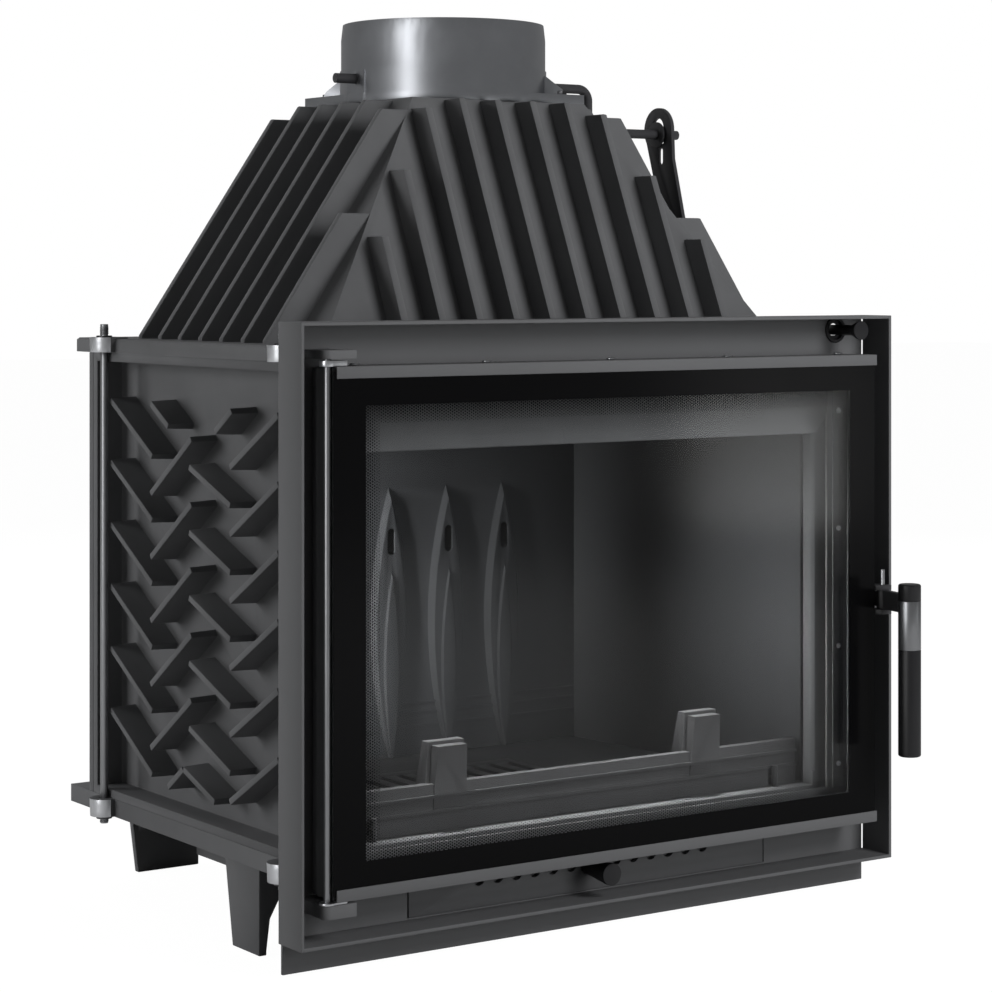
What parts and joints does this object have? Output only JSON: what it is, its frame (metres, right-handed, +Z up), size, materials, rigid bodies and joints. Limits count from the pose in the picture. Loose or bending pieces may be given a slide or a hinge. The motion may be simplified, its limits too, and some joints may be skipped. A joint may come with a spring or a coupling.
{
  "type": "cast iron fireplace insert",
  "caption": "Built-in cast iron fireplace insert with ribbed hood, round flue collar with damper, glass door with handle, ash drawer and air slider.",
  "frame": {"origin": "centre of the footprint on the floor, under the legs", "axes": "+Z up, -Y out of the door side, +X to the right seen from the front"},
  "size_m": [0.6556, 0.5346, 0.8298],
  "materials": {
    "cast_iron": "matt stove black, slightly rough",
    "lining": "dull dark board",
    "frame_paint": "satin dark grey paint",
    "black_metal": "satin black",
    "collar_steel": "satin silver grey",
    "plated_steel": "bright plated",
    "glass": "clear fireproof glass with a black printed border",
    "rope": "dark woven rope"
  },
  "bodies": {
    "stove": {"surround_frame": "frame_paint", "front_plate": "frame_paint", "front_casting": "cast_iron", "base_casting": "cast_iron", "leg_front_right": "cast_iron", "leg_front_left": "cast_iron", "leg_rear_right": "cast_iron", "leg_rear_left": "cast_iron", "right_side_casting": "cast_iron", "left_side_casting": "cast_iron", "back_casting": "cast_iron", "hood_casting": "cast_iron", "flue_collar": "collar_steel", "collar_bolts": "plated_steel", "tie_rods": "plated_steel", "tie_rod_washers": "plated_steel", "tie_rod_nuts": "plated_steel", "hearth_plate": "cast_iron", "grate": "cast_iron", "back_lining": "lining", "right_lining": "lining", "left_lining": "lining", "smoke_baffle": "lining", "log_guard": "cast_iron", "ash_box": "frame_paint", "hinge_bracket_top": "plated_steel", "hinge_bracket_bottom": "frame_paint", "door_catch": "frame_paint", "pull_rod_guides": "black_metal"},
    "door": {"door_frame": "frame_paint", "door_glass": "glass", "door_top_trim": "frame_paint", "door_bottom_trim": "frame_paint", "trim_screws": "plated_steel", "glass_retainers": "frame_paint", "retainer_screws": "plated_steel", "door_seal": "rope", "hinge_rod": "plated_steel", "door_ears": "plated_steel", "handle_bracket": "black_metal", "handle_pin": "plated_steel"},
    "handle": {"handle_arm": "black_metal", "handle_grip": "black_metal", "handle_band": "plated_steel", "handle_cap": "black_metal"},
    "drawer": {"drawer_front": "frame_paint", "ash_tray": "frame_paint"},
    "air_slider": {"air_slide_plate": "frame_paint", "air_knob": "black_metal"},
    "damper": {"damper_flap": "black_metal", "flap_screws": "black_metal", "damper_crank": "black_metal", "damper_washer": "black_metal"},
    "pull": {"yoke_arm": "black_metal", "pull_rod": "black_metal", "pull_knob": "black_metal"}
  },
  "joints": [
    {"name": "door_hinge", "type": "hinge", "parent": "stove", "child": "door", "pos_m": [-0.302, -0.20665, 0.3], "axis": [0, 0, 1], "range_deg": [-100, 0]},
    {"name": "handle_turn", "type": "hinge", "parent": "door", "child": "handle", "pos_m": [0.311, -0.21165, 0.276], "axis": [0, 0, 1], "range_deg": [0, 25]},
    {"name": "drawer_slide", "type": "slide", "parent": "stove", "child": "drawer", "axis": [0, -1, 0], "range_m": [0, 0.3]},
    {"name": "air_slide", "type": "slide", "parent": "drawer", "child": "air_slider", "axis": [1, 0, 0], "range_m": [-0.003, 0.007]},
    {"name": "damper_pull", "type": "slide", "parent": "stove", "child": "pull", "axis": [0, -1, 0], "range_m": [-0.03, 0.0215]},
    {"name": "damper_turn", "type": "hinge", "parent": "stove", "child": "damper", "pos_m": [0, 0.07995, 0.7745], "axis": [1, 0, 0], "range_deg": [-31, 43]}
  ],
  "couplings": [
    {"joint": "damper_turn", "follows": "damper_pull", "rad_per_m": -24.8}
  ]
}
